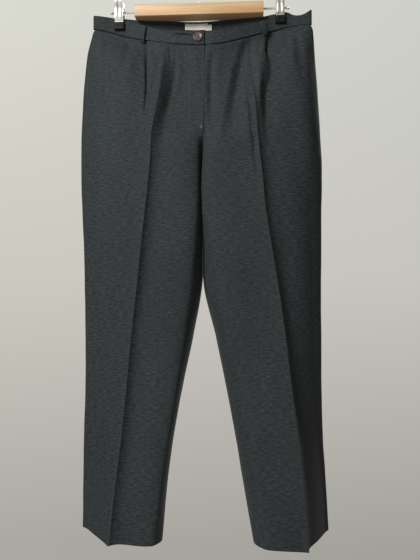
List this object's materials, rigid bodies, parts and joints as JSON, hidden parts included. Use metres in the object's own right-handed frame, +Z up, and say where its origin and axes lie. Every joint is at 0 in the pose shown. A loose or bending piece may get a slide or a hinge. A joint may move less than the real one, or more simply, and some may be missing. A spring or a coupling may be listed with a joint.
{
  "type": "pleated dress trousers on a wooden clip hanger",
  "caption": "Wide straight dress trousers with front pleats, creases, side pockets and belt loops, hanging by the waistband from a wooden bar hanger with two spring clips.",
  "frame": {"origin": "the hang point, under the crown of the hook's wire, where a rail carries the hanger", "axes": "+Z up, -Y toward the front of the trousers, +X toward the wearer's left"},
  "size_m": [0.5078, 0.1348, 1.1408],
  "materials": {
    "cloth": "dark slate worsted, slubbed",
    "label": "woven, bare",
    "button": "mottled brown, four holes",
    "zip": "closed chain",
    "wood": "clear lacquered",
    "steel": "bright",
    "rubber": "black"
  },
  "bodies": {
    "root": {"back_left": "cloth", "back_right": "cloth", "belt_loop_back_left": "cloth", "belt_loop_back_right": "cloth", "belt_loop_centre": "cloth", "belt_loop_front_left": "cloth", "belt_loop_front_right": "cloth", "button": "button", "clip_left_back_jaw": "steel", "clip_left_back_pad": "rubber", "clip_left_front_jaw": "steel", "clip_left_front_pad": "rubber", "clip_left_spring": "steel", "clip_right_back_jaw": "steel", "clip_right_back_pad": "rubber", "clip_right_front_jaw": "steel", "clip_right_front_pad": "rubber", "clip_right_spring": "steel", "fly_underlap": "cloth", "front_left": "cloth", "front_right": "cloth", "hanger_bar": "wood", "hanger_hook": "steel", "hanger_rod_left": "steel", "hanger_rod_right": "steel", "label": "label", "pocket_facing_left": "cloth", "pocket_facing_right": "cloth", "size_tab": "label", "waistband_left": "cloth", "waistband_right": "cloth", "zip_chain": "zip"}
  },
  "joints": []
}
